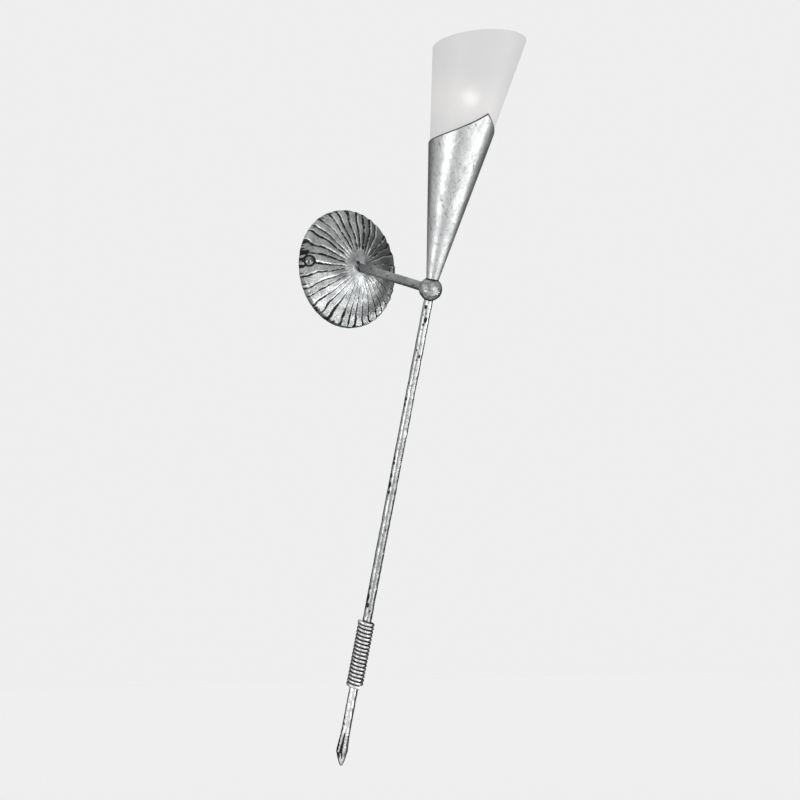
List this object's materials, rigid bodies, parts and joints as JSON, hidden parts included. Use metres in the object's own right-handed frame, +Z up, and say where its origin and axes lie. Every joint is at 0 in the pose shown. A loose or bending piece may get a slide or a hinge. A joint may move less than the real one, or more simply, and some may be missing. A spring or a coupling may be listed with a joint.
{
  "type": "torch sconce",
  "caption": "Wall torch light: frosted glass in a rolled metal cone on a ball, over a long rod with a wire winding and a forged point, held off a fluted round rosette by an arm.",
  "frame": {"origin": "midway between the two wall slots of the bracket, on the wall plane", "axes": "+Z up along the wall, +Y into the wall, +X to the right as seen from the room with -X on the left; the torch stands out towards -Y"},
  "size_m": [0.128, 0.285, 0.7566],
  "materials": {
    "silver_leaf": "hand-rubbed silver leaf over dark patina, satin with dark chips",
    "screw_black": "blackened steel, polished at the top",
    "zinc_steel": "zinc plated steel",
    "brass": "bare brass",
    "ceramic": "glazed ceramic",
    "block_plastic": "moulded plastic",
    "black_rubber": "soft rubber",
    "live_sleeve": "brown insulation",
    "neutral_sleeve": "blue insulation",
    "earth_sleeve": "green and yellow insulation",
    "clear_glass": "clear quartz glass",
    "tungsten": "fine wire",
    "frosted_glass": "acid frosted white glass"
  },
  "bodies": {
    "fixture": {"rosette": "silver_leaf", "rosette_screws": "screw_black", "wall_bracket": "zinc_steel", "cable_grommet": "black_rubber", "terminal_block": "block_plastic", "terminal_sleeves": "brass", "terminal_screws": "zinc_steel", "terminal_block_screw": "zinc_steel", "earth_tag": "zinc_steel", "earth_screw": "brass", "arm_tube": "silver_leaf", "arm_washer": "zinc_steel", "arm_nut": "zinc_steel", "ball_joint": "silver_leaf", "torch_rod": "silver_leaf", "rod_stud": "zinc_steel", "wire_winding": "silver_leaf", "spear_point": "silver_leaf", "torch_cone": "silver_leaf", "lamp_stem": "zinc_steel", "clamp_disc": "zinc_steel", "cone_nut": "zinc_steel", "holder_nuts": "zinc_steel", "holder_bracket": "zinc_steel", "lampholder": "ceramic", "holder_contacts": "brass", "holder_screws": "zinc_steel", "live_wire": "live_sleeve", "neutral_wire": "neutral_sleeve", "earth_wire": "earth_sleeve"},
    "glass": {"glass_shade": "frosted_glass"},
    "bulb": {"bulb_capsule": "clear_glass", "bulb_pins": "zinc_steel", "bulb_filament": "tungsten"}
  },
  "joints": [
    {"name": "glass_lift", "type": "slide", "parent": "fixture", "child": "glass", "axis": [0, -0.2932, 0.956], "range_m": [0, 0.12]},
    {"name": "bulb_pull", "type": "slide", "parent": "fixture", "child": "bulb", "axis": [0, -0.2932, 0.956], "range_m": [0, 0.03]}
  ]
}
